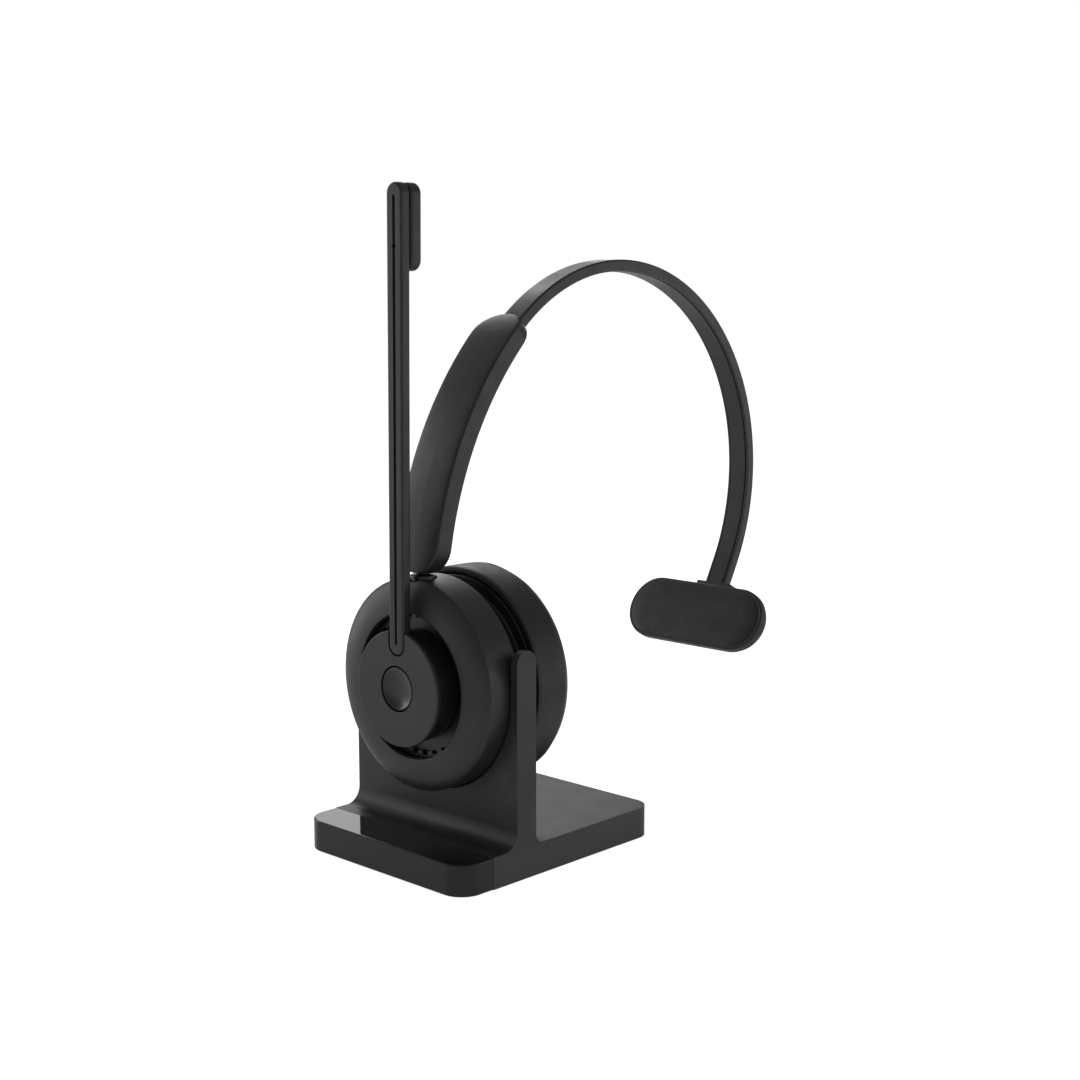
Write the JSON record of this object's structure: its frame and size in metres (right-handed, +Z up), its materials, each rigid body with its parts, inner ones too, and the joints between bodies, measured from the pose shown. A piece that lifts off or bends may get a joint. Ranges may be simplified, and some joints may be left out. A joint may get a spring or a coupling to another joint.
{
  "type": "office headset",
  "caption": "Wireless mono office headset with a swinging microphone boom, sliding headband and temple pad, standing in its charging dock.",
  "frame": {"origin": "underside of the dock's anti-slip pad, on the centre line of the dock's upright plate", "axes": "+Z up, +X across the dock, +Y from the microphone side of the ear cup towards the ear cushion and the temple pad"},
  "size_m": [0.0668, 0.1687, 0.1923],
  "materials": {
    "dock_matte": "fine spark-eroded grain",
    "dock_gloss": "piano black",
    "shell_matte": "smooth matte",
    "boom_matte": "smooth matte",
    "satin_plastic": "satin",
    "cushion": "soft leatherette",
    "scrim": "acoustic cloth",
    "band_plastic": "satin moulding",
    "foot_rubber": "matte",
    "spring_steel": "rolled strip",
    "steel": "zinc plated",
    "gold_contact": "gold plated",
    "circuit_board": "solder mask",
    "cell_wrap": "foil pouch",
    "diaphragm": "thin film"
  },
  "bodies": {
    "dock": {"dock_body": "dock_matte", "dock_front_cover": "dock_gloss", "dock_bottom_plate": "dock_matte", "dock_anti_slip_pad": "foot_rubber", "dock_ballast_plate": "steel", "dock_circuit_board": "circuit_board", "dock_usb_socket": "steel", "dock_contact_block": "satin_plastic", "dock_screw_1": "steel", "dock_screw_2": "steel", "dock_screw_3": "steel", "dock_screw_4": "steel"},
    "charge_pin_1": {"dock_charge_pin_1": "gold_contact"},
    "charge_pin_2": {"dock_charge_pin_2": "gold_contact"},
    "ear_cup": {"housing_ring": "shell_matte", "detent_ring": "satin_plastic", "hub_mount": "satin_plastic", "hub_retainer": "steel", "rear_shell": "satin_plastic", "main_board": "circuit_board", "battery": "cell_wrap", "speaker_magnet": "steel", "speaker_basket": "satin_plastic", "speaker_diaphragm": "diaphragm", "speaker_baffle": "satin_plastic", "acoustic_cloth": "scrim", "ear_cushion": "cushion", "charge_contact_1": "gold_contact", "charge_contact_2": "gold_contact", "volume_switch_board": "circuit_board", "call_switch": "steel"},
    "volume_up": {"volume_up_button": "satin_plastic"},
    "volume_down": {"volume_down_button": "satin_plastic"},
    "call_key": {"call_button": "satin_plastic"},
    "boom": {"hub_cap": "boom_matte", "hub_drum": "satin_plastic", "boom_bar": "boom_matte", "mic_capsule": "boom_matte", "mic_element": "steel"},
    "arm": {"neck_pivot": "satin_plastic", "arm_outer_shell": "shell_matte", "arm_inner_shell": "shell_matte", "arm_screw_1": "steel", "arm_screw_2": "steel", "arm_screw_3": "steel"},
    "headband": {"headband_inner_layer": "band_plastic", "headband_outer_layer": "band_plastic", "slider_strip": "spring_steel", "temple_bracket": "band_plastic"},
    "temple": {"temple_back_plate": "band_plastic", "temple_pad": "cushion", "temple_pin": "steel"}
  },
  "joints": [
    {"name": "headset_lift", "type": "slide", "parent": "dock", "child": "ear_cup", "axis": [0, 0, 1], "range_m": [0, 0.06]},
    {"name": "charge_pin_1_press", "type": "slide", "parent": "dock", "child": "charge_pin_1", "axis": [0, 0, -1], "range_m": [0, 0.0008], "stiffness_N_per_m": 500},
    {"name": "charge_pin_2_press", "type": "slide", "parent": "dock", "child": "charge_pin_2", "axis": [0, 0, -1], "range_m": [0, 0.0008], "stiffness_N_per_m": 500},
    {"name": "boom_swing", "type": "hinge", "parent": "ear_cup", "child": "boom", "pos_m": [0, -0.015, 0.0523], "axis": [0, 1, 0], "range_deg": [-110, 110]},
    {"name": "call_key_press", "type": "slide", "parent": "ear_cup", "child": "call_key", "axis": [0, 1, 0], "range_m": [0, 0.0003], "stiffness_N_per_m": 3000},
    {"name": "volume_up_press", "type": "slide", "parent": "ear_cup", "child": "volume_up", "axis": [1, 0, 0], "range_m": [0, 0.0005], "stiffness_N_per_m": 3000},
    {"name": "volume_down_press", "type": "slide", "parent": "ear_cup", "child": "volume_down", "axis": [1, 0, 0], "range_m": [0, 0.0005], "stiffness_N_per_m": 3000},
    {"name": "neck_swivel", "type": "hinge", "parent": "ear_cup", "child": "arm", "pos_m": [0, -0.0075, 0.083], "axis": [0, 0, 1], "range_deg": [-15, 15]},
    {"name": "headband_extend", "type": "hinge", "parent": "arm", "child": "headband", "pos_m": [0, 0.1007, 0.073], "axis": [-1, 0, 0], "range_deg": [0, 11]},
    {"name": "temple_tilt", "type": "hinge", "parent": "headband", "child": "temple", "pos_m": [0, 0.12528, 0.0563], "axis": [1, 0, 0], "range_deg": [-10, 10]}
  ]
}
